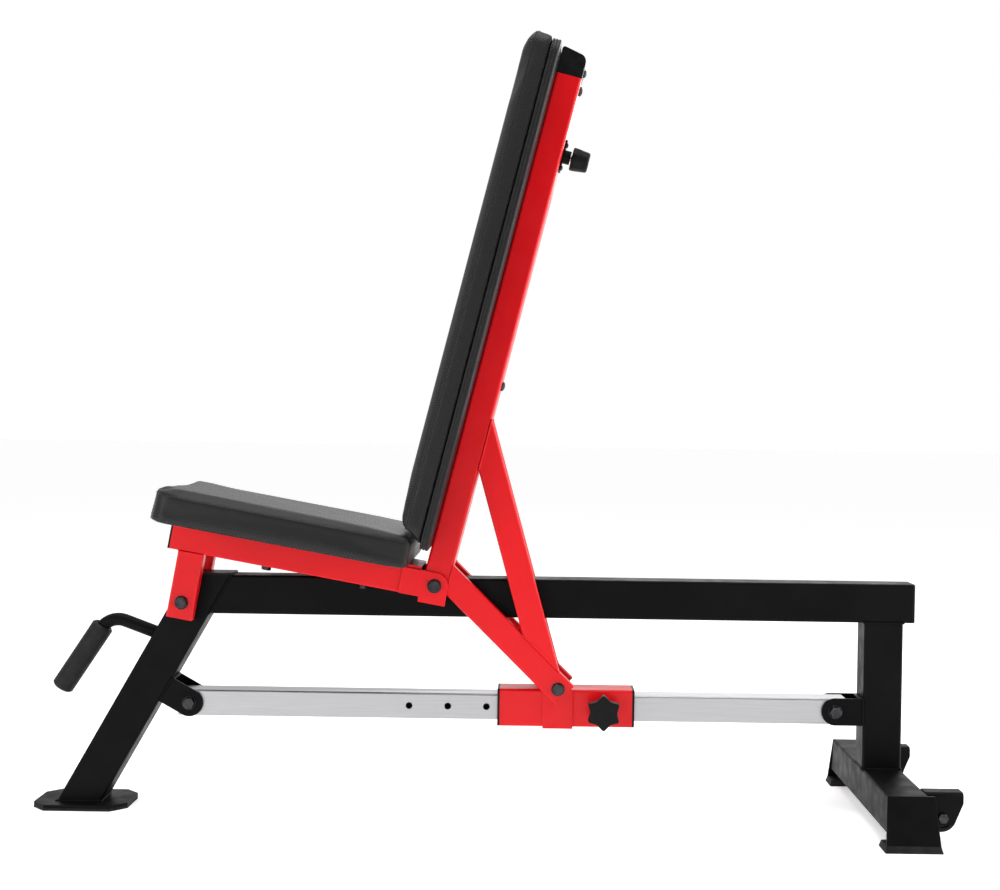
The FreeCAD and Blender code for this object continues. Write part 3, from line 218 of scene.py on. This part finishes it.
def rubber():
    paint = Paint("pad_rubber", (0.008, 0.008, 0.008), 0.70, Specular_IOR_Level=0.2)
    paint.vary_color(paint.noise(45, 4), 0.7, 1.6)
    paint.vary_roughness(paint.noise(60, 2), 0.62, 0.82)
    paint.bump(paint.noise(700, 3), 0.00018)
    return paint.material


def foam_grip():
    paint = Paint("foam_grip", (0.007, 0.007, 0.0075), 0.46, Specular_IOR_Level=0.22)
    paint.vary_color(paint.noise(60, 4), 0.8, 1.4)
    paint.vary_roughness(paint.noise(90, 2), 0.50, 0.64)
    cells = paint.node("ShaderNodeTexVoronoi", Scale=900.0)
    paint.link(paint.coords, cells.inputs["Vector"])
    paint.bump(cells.outputs["Distance"], 0.00020)
    return paint.material


def black_oxide():
    paint = Paint("black_oxide_steel", (0.035, 0.035, 0.038), 0.33, 0.85)
    paint.vary_color(paint.noise(120, 3), 0.7, 1.5)
    paint.vary_roughness(paint.noise(160, 2), 0.26, 0.44)
    paint.bump(paint.noise(900, 2), 0.00005)
    return paint.material


def bright_steel():
    paint = Paint("turned_steel", (0.62, 0.62, 0.64), 0.28, 1.0)
    paint.vary_color(paint.noise(200, 2), 0.9, 1.05)
    paint.vary_roughness(paint.noise(300, 2), 0.22, 0.36)
    paint.bump(paint.noise(1500, 1), 0.00003)
    return paint.material


def floor_paint():
    paint = Paint("pale_floor", (0.90, 0.90, 0.90), 0.8, Specular_IOR_Level=0.1,
                  Emission_Color=(1, 1, 1, 1), Emission_Strength=0.38)
    paint.vary_color(paint.noise(3, 2), 0.99, 1.0)
    return paint.material


MATERIALS = {
    "black_frame": black_paint(), "red_frame": red_paint(), "rail_aluminium": drawn_aluminium(),
    "black_plastic": moulded_plastic(), "foot_rubber": rubber(), "grip_foam": foam_grip(),
    "cushion_vinyl": cushion_vinyl(), "panel_wood": smooth_vinyl(), "black_fasteners": black_oxide(),
    "steel": bright_steel(),
}


# ---------------------------------------------------------------- mesh helpers

def new_object(name, bm, material, smooth=True):
    mesh = bpy.data.meshes.new(name)
    bmesh.ops.recalc_face_normals(bm, faces=bm.faces)
    bm.to_mesh(mesh)
    bm.free()
    thing = bpy.data.objects.new(name, mesh)
    bpy.context.scene.collection.objects.link(thing)
    mesh.materials.append(material)
    mesh.polygons.foreach_set("use_smooth", [smooth] * len(mesh.polygons))
    return thing


def apply_modifiers(thing):
    graph = bpy.context.evaluated_depsgraph_get()
    mesh = bpy.data.meshes.new_from_object(thing.evaluated_get(graph))
    old = thing.data
    thing.modifiers.clear()
    thing.data = mesh
    bpy.data.meshes.remove(old)


CORNER_STEPS = 10


def rounded_outline(low, high, half, radius, spacing=12 * MM):
    """Points round a rectangle with round corners, evenly spaced enough for a soft surface."""
    points = []
    corners = ((high - radius, half - radius, 0), (low + radius, half - radius, 1),
               (low + radius, radius - half, 2), (high - radius, radius - half, 3))
    for number, (u, v, quarter) in enumerate(corners):
        for step in range(CORNER_STEPS + 1):
            angle = (quarter + step / CORNER_STEPS) * math.pi / 2
            points.append(Vector((u + radius * math.cos(angle), v + radius * math.sin(angle))))
        following = corners[(number + 1) % 4]
        angle = (quarter + 1) * math.pi / 2
        start = points[-1]
        end = Vector((following[0] + radius * math.cos(angle),
                      following[1] + radius * math.sin(angle)))
        pieces = max(1, round((end - start).length / spacing))
        points += [start.lerp(end, k / pieces) for k in range(1, pieces)]
    return points


def inset_outline(points, distance):
    """The outline moved inward by a distance, along the mean of its neighbours' normals."""
    moved = []
    count = len(points)
    for k, point in enumerate(points):
        along = points[(k + 1) % count] - points[k - 1]
        inward = Vector((-along.y, along.x)).normalized()
        moved.append(point + inward * distance)
    return moved


def lofted(name, outline, profile, place, material, bend=None):
    """A closed solid: the outline inset and lifted through a profile of (inset, w) steps."""
    bm = bmesh.new()
    rings = []
    for inset, level in profile:
        ring = []
        for point in inset_outline(outline, inset):
            spot = Vector((point.x, point.y, level))
            ring.append(bm.verts.new(place @ (bend(spot) if bend else spot)))
        rings.append(ring)
    count = len(outline)
    for lower, upper in zip(rings, rings[1:]):
        for k in range(count):
            bm.faces.new((lower[k], lower[(k + 1) % count], upper[(k + 1) % count], upper[k]))
    bm.faces.new(rings[0])
    bm.faces.new(rings[-1])
    return new_object(name, bm, material)


BEAD_SIDES = 8


def swept(name, path, radius, material, ripple=None, closed=False):
    """A round bead along a path; ripple(distance) scales its radius."""
    bm = bmesh.new()
    rings = []
    travelled = 0.0
    count = len(path)
    for k, point in enumerate(path):
        before = path[k - 1] if k or closed else path[0]
        after = path[(k + 1) % count] if k < count - 1 or closed else path[-1]
        along = (after - before).normalized()
        side = along.orthogonal().normalized()
        if abs(along.y) < 0.95:
            side = along.cross(Vector((0, 1, 0))).normalized()
        up = side.cross(along)
        if k:
            travelled += (point - path[k - 1]).length
        size = radius * (ripple(travelled) if ripple else 1.0)
        rings.append([bm.verts.new(point + (side * math.cos(a) + up * math.sin(a)) * size)
                      for a in (math.tau * j / BEAD_SIDES for j in range(BEAD_SIDES))])
    pairs = list(zip(rings, rings[1:]))
    if closed:
        pairs.append((rings[-1], rings[0]))
    for lower, upper in pairs:
        for j in range(BEAD_SIDES):
            following = (j + 1) % BEAD_SIDES
            bm.faces.new((lower[j], lower[following], upper[following], upper[j]))
    if not closed:
        bm.faces.new(rings[0])
        bm.faces.new(rings[-1])
    return new_object(name, bm, material)


def weld(name, corners, body, slot_name, radius, seed):
    """A weld bead through the corners: a chain of overlapping scallops."""
    path = [corners[0]]
    for start, end in zip(corners, corners[1:]):
        pieces = max(2, round((end - start).length / (0.9 * MM)))
        path += [start.lerp(end, k / pieces) for k in range(1, pieces + 1)]

    def scallop(distance):
        wave = abs(math.sin(distance / (2.6 * MM) * math.pi))
        return 0.72 + 0.22 * wave + 0.16 * noise.noise(Vector((distance * 260, seed, 0)))

    bead = swept(name, path, radius, MATERIALS[slot_name], ripple=scallop)
    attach(bead, body)


# ---------------------------------------------------------------- cushions

def padded_block(name, low, high, half, bottom, top, edge, place, bend):
    """The shape a cushion is sewn to before it is stuffed."""
    profile = [(5 * MM, bottom), (1.0 * MM, bottom + 0.4 * MM), (0.0, bottom + 3 * MM)]
    profile += [(edge * (1 - math.cos(a)), top - edge * (1 - math.sin(a)))
                for a in (math.pi / 2 * k / 6 for k in range(7))]
    outline = rounded_outline(low, high, half, CORNER_RADIUS)
    return lofted(name, outline, profile, place, MATERIALS["cushion_vinyl"], bend)


VOXEL = 5 * MM
CLOTH_FRAMES = 20
STUFFING_PRESSURE = 4.0
VINYL_STIFFNESS = {"tension_stiffness": 18, "compression_stiffness": 18, "shear_stiffness": 8,
                   "bending_stiffness": 1.5}


def inflate(thing, place, bottom, limit):
    """Stuffs a cushion by cloth simulation: pressure inside, its underside held to the board.
    limit(spot) says how far a spot may move sideways and outward."""
    remesh = thing.modifiers.new("remesh", "REMESH")
    remesh.mode = "VOXEL"
    remesh.voxel_size = VOXEL
    apply_modifiers(thing)
    flat = place.inverted()
    start = [vertex.co.copy() for vertex in thing.data.vertices]
    held = thing.vertex_groups.new(name="held")
    held.add([k for k, co in enumerate(start) if (flat @ co).z < bottom + 3 * MM], 1.0, "REPLACE")
    cloth = thing.modifiers.new("stuffing", "CLOTH")
    cloth.settings.use_pressure = True
    cloth.settings.uniform_pressure_force = STUFFING_PRESSURE
    cloth.settings.effector_weights.gravity = 0.0
    cloth.settings.vertex_group_mass = "held"
    for setting, value in VINYL_STIFFNESS.items():
        setattr(cloth.settings, setting, value)
    cloth.point_cache.frame_start = 1
    cloth.point_cache.frame_end = CLOTH_FRAMES
    for number in range(1, CLOTH_FRAMES + 1):
        bpy.context.scene.frame_set(number)
    apply_modifiers(thing)
    turn, back = flat.to_3x3(), place.to_3x3()
    for vertex, old in zip(thing.data.vertices, start):
        step = turn @ (vertex.co - old)
        spread, rise = limit(flat @ old)
        step.z = max(-rise, min(step.z, rise))
        sideways = step.xy.length
        if sideways > spread:
            step.x *= spread / sideways
            step.y *= spread / sideways
        vertex.co = old + back @ step
    bpy.context.scene.frame_set(1)


def finish_pad(thing, node, body):
    thing.vertex_groups.clear()
    smooth = thing.modifiers.new("smooth", "SMOOTH")
    smooth.factor = 0.5
    smooth.iterations = 2
    subdivide = thing.modifiers.new("subdivide", "SUBSURF")
    subdivide.levels = 1
    subdivide.render_levels = 1
    apply_modifiers(thing)
    thing.data.polygons.foreach_set("use_smooth", [True] * len(thing.data.polygons))
    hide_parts(node)
    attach(thing, body)


def seam_ring(name, thing, outline, level, place, body, radius=1.0 * MM, bend=None):
    """A sewn cord that runs round a cushion at one level, half sunk in its surface."""
    tree = BVHTree.FromPolygons([vertex.co for vertex in thing.data.vertices],
                                [tuple(face.vertices) for face in thing.data.polygons])
    path = []
    for point, outer in zip(outline, inset_outline(outline, -25 * MM)):
        start, goal = (Vector((spot.x, spot.y, level)) for spot in (outer, point))
        start, goal = place @ start, place @ (bend(goal) if bend else goal)
        hit = tree.ray_cast(start, (goal - start).normalized())[0]
        path.append(hit or goal)
    cord = swept(name, path, radius, MATERIALS["panel_wood"], closed=True)
    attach(cord, body)


# Steps of a wrapped board's edge in millimetres: how far in from the outline, and how far up.
RIM_BOTTOM = ((2.5, 0), (0.6, 0.8), (0, 2.2))
GROOVE = ((0, -1.4), (0.4, -0.8), (1.5, 0), (0.4, 0.8), (0, 1.4))
RIM_TOP = ((0, -1.2), (0.8, -0.3), (2.0, 0))


def board_rim(name, outline, bottom, top, grooves, place, node, body):
    """The board under a cushion, wrapped in vinyl, with sewn grooves round its edge."""
    thick = top - bottom
    profile = [(inset * MM, bottom + rise * MM) for inset, rise in RIM_BOTTOM]
    for share in grooves:
        level = bottom + thick * share
        profile += [(inset * MM, level + rise * MM) for inset, rise in GROOVE]
    profile += [(inset * MM, top + rise * MM) for inset, rise in RIM_TOP]
    rim = lofted(name, outline, profile, place, MATERIALS["panel_wood"])
    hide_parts(node)
    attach(rim, body)


def make_seat_pad():
    """The seat's cover runs down over the board's edge, so the board shows only from below."""
    board_low, board_high, top = 25 * MM, 39 * MM, 74 * MM
    front, rear, half = -430 * MM, -27 * MM, 135.5 * MM
    rear_round = 34 * MM
    lip, lip_reach = 3.5 * MM, 50 * MM

    def tuck(spot):
        """Fills out the front edge, and rolls the rear end under, where the backrest comes close."""
        if spot.z > board_high:
            forward = max(0.0, min(1.0, 1 - (spot.x - front) / lip_reach))
            spot.z += lip * forward ** 1.5 * (spot.z - board_high) / (top - board_high)
        over = spot.z - (top - rear_round)
        if over > 0:
            reach = rear_round - math.sqrt(max(0.0, rear_round ** 2 - over ** 2))
            spot.x = min(spot.x, rear - reach)
        under = board_high - spot.z
        if under > 0:
            spot.x = min(spot.x, rear - BOARD_INSET - 17.5 * MM * under / (board_high - board_low))
        return spot

    def limit(spot):
        clear = max(0.0, min(1.0, (rear - 30 * MM - spot.x) / (60 * MM)))
        return (0.8 + 1.7 * clear) * MM, (0.8 + 2.0 * clear) * MM

    pad = padded_block("seat_cushion_cover", front, rear, half - MM, board_low + 0.3 * MM,
                       top - MM, 6 * MM, SEAT_PAD, tuck)
    inflate(pad, SEAT_PAD, board_low, limit)
    finish_pad(pad, "seat_cushion", "seat")
    inner = rounded_outline(front + 5 * MM, rear - 24 * MM, half - 5 * MM, CORNER_RADIUS)
    board_rim("seat_board_cover", inner, board_low, board_high, (), SEAT_PAD, "seat_board", "seat")
    outline = rounded_outline(front, rear, half, CORNER_RADIUS, spacing=6 * MM)
    seam_ring("seat_top_seam", pad, outline, top - 9 * MM, SEAT_PAD, "seat", bend=tuck)
    seam_ring("seat_board_seam", pad, outline, board_high - 3 * MM, SEAT_PAD, "seat", 0.6 * MM, tuck)


def make_back_pad():
    board_low, board_high, top = 20 * MM, 33 * MM, 71 * MM
    low, high, half = 58 * MM, 845 * MM, 135.5 * MM
    nose, crown_start, crown_drop = 88 * MM, 57 * MM, 26 * MM

    def tuck(spot):
        """Slants the lower end up and back, away from the seat, and rounds the upper end."""
        rise = max(0.0, (spot.z - board_high) / (top - board_high))
        spot.x = max(spot.x, low + 3 * MM + (nose - low - 3 * MM) * rise)
        crown = max(0.0, (spot.z - crown_start) / (top - crown_start))
        ceiling = min(high, high - 12 * MM + max(0.0, spot.z - board_high)) - crown_drop * crown ** 1.6
        spot.x = min(spot.x, ceiling)
        return spot

    def limit(spot):
        clear = max(0.0, min(1.0, (spot.x - nose - 10 * MM) / (60 * MM)))
        return (0.8 + 1.4 * clear) * MM, (0.8 + 3.4 * clear) * MM

    pad = padded_block("back_cushion_cover", low + MM, high - MM, half - MM, board_high,
                       top - 2 * MM, 11 * MM, BACK_PAD, tuck)
    inflate(pad, BACK_PAD, board_high, limit)
    finish_pad(pad, "back_cushion", "backrest")
    board = rounded_outline(55 * MM, 836 * MM, half, CORNER_RADIUS)
    board_rim("back_board_cover", board, board_low, board_high, (0.38, 0.72), BACK_PAD, "back_board",
              "backrest")
    outline = rounded_outline(low + 3 * MM, high, half, CORNER_RADIUS, spacing=6 * MM)
    seam_ring("back_front_seam", pad, outline, top - 12 * MM, BACK_PAD, "backrest", bend=tuck)
    seam_ring("back_rim_seam", pad, outline, board_high + 4 * MM, BACK_PAD, "backrest", 0.7 * MM, tuck)


# ---------------------------------------------------------------- welds and washers

# In millimetres and in the backrest's frame: how far each strut leans from the spine, the bolt
# between the lower strut and the saddle, the top of the upper strut, and half a tube's depth.
UPPER_LEAN, LOWER_LEAN = math.radians(29.65), math.radians(59.51)
LEVER = (223.0, -105.35)
STRUT_TOP = 268.9
HALF = 20.0
STRUT_FACES = (27.3, 47.7)

# In millimetres: half the frame tubes' width plus a hair, the frame's levels and the saddle's ends.
TUBE_SIDE = 25.3
BEAM_UNDER, BEAM_JOINT_TOP = 302.5, 362
SADDLE_ENDS = ((86, 1.8), (132.5, 1.5))
POST_FRONT, POST_REAR, POST_FOOT = 581.5, 642.3, 76.2
FOOT_FRONT, FOOT_REAR, FOOT_TOP = -664.6, -595.0, 9.3
CLEVIS_SIDE = 24.8
HANDLE_ROOT = Vector((-519.0, 0, 269.0))
HANDLE_RING = (10.6, 10.8)


def spot_on(frame_matrix, along, across, up):
    """A point given in millimetres in a leaning frame, in the row frame."""
    return frame_matrix @ Vector((along * MM, across * MM, up * MM))


def upper_foot(start):
    """Where an upper strut's edge, starting at this height on the spine, lands on the lower strut."""
    reach = (((HALF - LEVER[0]) * math.cos(LOWER_LEAN) + (start - LEVER[1]) * math.sin(LOWER_LEAN)
              - HALF) / math.sin(LOWER_LEAN - UPPER_LEAN))
    return HALF + reach * math.sin(UPPER_LEAN), start - reach * math.cos(UPPER_LEAN)


def lower_top(across):
    """Where an edge of the lower strut, this far off its middle line, meets the spine."""
    rise = ((LEVER[0] - HALF) * math.cos(LOWER_LEAN) + across) / math.sin(LOWER_LEAN)
    return HALF, LEVER[1] + rise


def make_red_welds():
    """Each run is a body, a frame, corners in that frame in millimetres and a bead radius."""
    front = STRUT_TOP - 2 * HALF / math.sin(UPPER_LEAN)
    runs = []
    for side in (-1, 1):
        ear = [(-51.5, side * 49.3, -19), (-51.5, side * 49.3, 19)]
        lug = [(-395, side * 48.2, -20.6), (-356, side * 48.2, -20.6)]
        runs += [("seat", SEAT_FRAME, ear, 3.0), ("seat", SEAT_FRAME, lug, 1.2)]
        for face in STRUT_FACES:
            y = side * face
            for start, end in ((upper_foot(front), upper_foot(STRUT_TOP)),
                               ((HALF, front), (HALF, STRUT_TOP)),
                               (lower_top(-HALF), lower_top(HALF))):
                strut = [(start[0], y, start[1]), (end[0], y, end[1])]
                runs.append(("backrest", BACK_FRAME, strut, 1.5))
        for x, size in SADDLE_ENDS:
            y = side * TUBE_SIDE
            runs.append(("sleeve", Matrix(), [(x, y, 136), (x, y, 188)], size))
    for number, (body, place, corners, size) in enumerate(runs):
        path = [spot_on(place, *corner) for corner in corners]
        weld(f"red_weld_{number:02d}", path, body, "red_frame", size * MM, number)


def ring_corners(low_x, high_x, z):
    """Corners of a bead that runs right round a frame tube at one level."""
    return [(low_x, -TUBE_SIDE, z), (high_x, -TUBE_SIDE, z), (high_x, TUBE_SIDE, z),
            (low_x, TUBE_SIDE, z), (low_x, -TUBE_SIDE, z)]


def make_black_welds():
    """The post's top and foot, the leg's foot, the beam on the leg, both clevises and the handle."""
    loops = [ring_corners(POST_FRONT, POST_REAR, BEAM_UNDER),
             ring_corners(POST_FRONT, POST_REAR, POST_FOOT),
             ring_corners(FOOT_FRONT, FOOT_REAR, FOOT_TOP)]
    for side in (-TUBE_SIDE, TUBE_SIDE):
        loops.append([(-431.4, side, BEAM_UNDER), (-397.9, side, BEAM_JOINT_TOP)])
    loops.append([(-431.8, -25, 302.2), (-431.8, 25, 302.2)])
    for side in (-CLEVIS_SIDE, CLEVIS_SIDE):
        loops += [[(581.6, side, 143), (581.6, side, 184)], [(-508, side, 166), (-487.6, side, 202)]]
    leg_normal = Vector((-math.cos(LEG_LEAN), 0, math.sin(LEG_LEAN)))
    leg_up = Vector((math.sin(LEG_LEAN), 0, math.cos(LEG_LEAN)))
    centre = HANDLE_ROOT + leg_normal * 0.6
    across, along = HANDLE_RING
    loops.append([tuple(centre + Vector((0, across * math.sin(a), 0)) + leg_up * along * math.cos(a))
                  for a in (math.tau * k / 24 for k in range(25))])
    for number, corners in enumerate(loops):
        path = [spot_on(Matrix(), *corner) for corner in corners]
        weld(f"black_weld_{number:02d}", path, "base", "black_frame", 1.9 * MM, number + 50)


WASHER_EDGE = 0.8 * MM


def make_washers():
    """Each row is a name, a bolt's centre, its washers' distance out and radius, and their body."""
    seat_pivot = SEAT_FRAME @ Vector((-375.4 * MM, 0, -98 * MM))
    lever = BACK_FRAME @ Vector((LEVER[0] * MM, 0, LEVER[1] * MM))
    rail = [Vector((x * MM, 0, 163.5 * MM)) for x in (-461, 539)]
    rows = [("hinge_washer", HINGE, 53.9, 10.2, "seat"),
            ("lever_washer", lever, 48.1, 9.5, "backrest"),
            ("pivot_washer_ring", seat_pivot, 48.6, 9.9, "seat"),
            ("front_rail_washer", rail[0], 25.1, 9.9, "base"),
            ("rear_rail_washer", rail[1], 25.1, 9.9, "base")]
    for name, centre, face, radius, body in rows:
        for side, tag in ((-1, "left"), (1, "right")):
            path = [Vector((centre.x + radius * MM * math.cos(a), side * face * MM,
                            centre.z + radius * MM * math.sin(a)))
                    for a in (math.tau * k / 40 for k in range(40))]
            washer = swept(f"{name}_{tag}", path, WASHER_EDGE, MATERIALS["black_fasteners"],
                           closed=True)
            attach(washer, body)


# ---------------------------------------------------------------- CAD nodes

# Pieces whose modelled edges are sharp, which get a small worn-looking bevel.
SHARP_NODES = (
    "front_foot_plate", "front_foot_pad", "foot_bar_end_plates", "rear_foot_pads", "front_clevis",
    "rear_clevis", "seat_ears", "spine_cheeks", "spine_top_cap", "lever_saddle", "beam_end_cap",
    "seat_rail_caps", "wheel_brackets", "stow_pin_housing", "sleeve_liners", "sleeve_pin_knob",
    "stow_pin_knob", "seat_cross_plates", "handle_grip", "wheel_left", "wheel_right",
    "sleeve_pin_housing",
)


EDGE_BEVEL = 0.6 * MM


def dress_nodes():
    slots = {part["node"]: part["material_slot"] for part in frame["record"]["subparts"]}
    for name, node in frame["nodes"].items():
        node.data.materials.clear()
        node.data.materials.append(MATERIALS[slots[name]])
        join = node.modifiers.new("join", "WELD")
        join.merge_threshold = 1e-5
        if name in SHARP_NODES:
            edges = node.modifiers.new("edges", "BEVEL")
            edges.width = EDGE_BEVEL
            edges.segments = 2
            edges.limit_method = "ANGLE"
            edges.angle_limit = math.radians(35)
            edges.harden_normals = False


# ---------------------------------------------------------------- stage

def area_light(name, place, target, size, power):
    data = bpy.data.lights.new(name, "AREA")
    data.shape = "RECTANGLE"
    data.size, data.size_y = size
    data.energy = power
    light = bpy.data.objects.new(name, data)
    light.location = place
    light.rotation_euler = (Vector(target) - Vector(place)).to_track_quat("-Z", "Y").to_euler()
    bpy.context.scene.collection.objects.link(light)


def make_world():
    """A pale room, white behind the bench and on its back wall, and dimmer on the near side."""
    world = bpy.data.worlds.new("studio")
    world.use_nodes = True
    tree = world.node_tree
    background = tree.nodes["Background"]
    coords = tree.nodes.new("ShaderNodeTexCoord")
    split = tree.nodes.new("ShaderNodeSeparateXYZ")
    ramp = tree.nodes.new("ShaderNodeMapRange")
    tree.links.new(coords.outputs["Generated"], split.inputs["Vector"])
    tree.links.new(split.outputs["Y"], ramp.inputs["Value"])
    near, far = 0.10, 1.0
    for name, value in (("From Min", -1.0), ("From Max", 0.6), ("To Min", near), ("To Max", far)):
        ramp.inputs[name].default_value = value
    tree.links.new(ramp.outputs["Result"], background.inputs["Strength"])
    background.inputs["Color"].default_value = (1, 1, 1, 1)
    bpy.context.scene.world = world


FLOOR_HALF = 40.0


def make_stage():
    bm = bmesh.new()
    bmesh.ops.create_grid(bm, x_segments=1, y_segments=1, size=FLOOR_HALF)
    floor = new_object("floor", bm, floor_paint(), smooth=False)
    make_world()
    middle = (0.0, 0.0, 0.45)
    area_light("top_soft", (-0.2, -0.5, 2.8), middle, (2.6, 1.2), 46)
    area_light("front_left", (-2.1, -2.3, 0.8), (-0.3, 0, 0.35), (0.9, 1.4), 26)
    area_light("front_right", (2.2, -2.2, 1.3), middle, (0.8, 1.6), 16)
    area_light("back_rim", (0.8, 2.4, 1.9), middle, (2.0, 1.2), 22)
    area_light("rear_strip", (3.0, -0.2, 0.9), (0.2, 0, 0.6), (1.0, 2.2), 60)
    bpy.context.scene.view_settings.view_transform = "Standard"


CAMERA_PLACE = (0.0696, -2.216, 0.598)


def make_camera():
    data = bpy.data.cameras.new("camera")
    data.sensor_width = 36
    data.lens = 51.12
    data.shift_x = -0.036
    camera = bpy.data.objects.new("camera", data)
    pitch_down, roll = math.radians(0.726), math.radians(0.825)
    turn = Matrix.Rotation(-roll, 4, "Y") @ Matrix.Rotation(math.pi / 2 - pitch_down, 4, "X")
    camera.matrix_world = Matrix.Translation(CAMERA_PLACE) @ turn
    bpy.context.scene.collection.objects.link(camera)
    bpy.context.scene.camera = camera


# ---------------------------------------------------------------- the model

make_camera()
make_stage()
dress_nodes()
make_seat_pad()
make_back_pad()
make_red_welds()
make_black_welds()
make_washers()
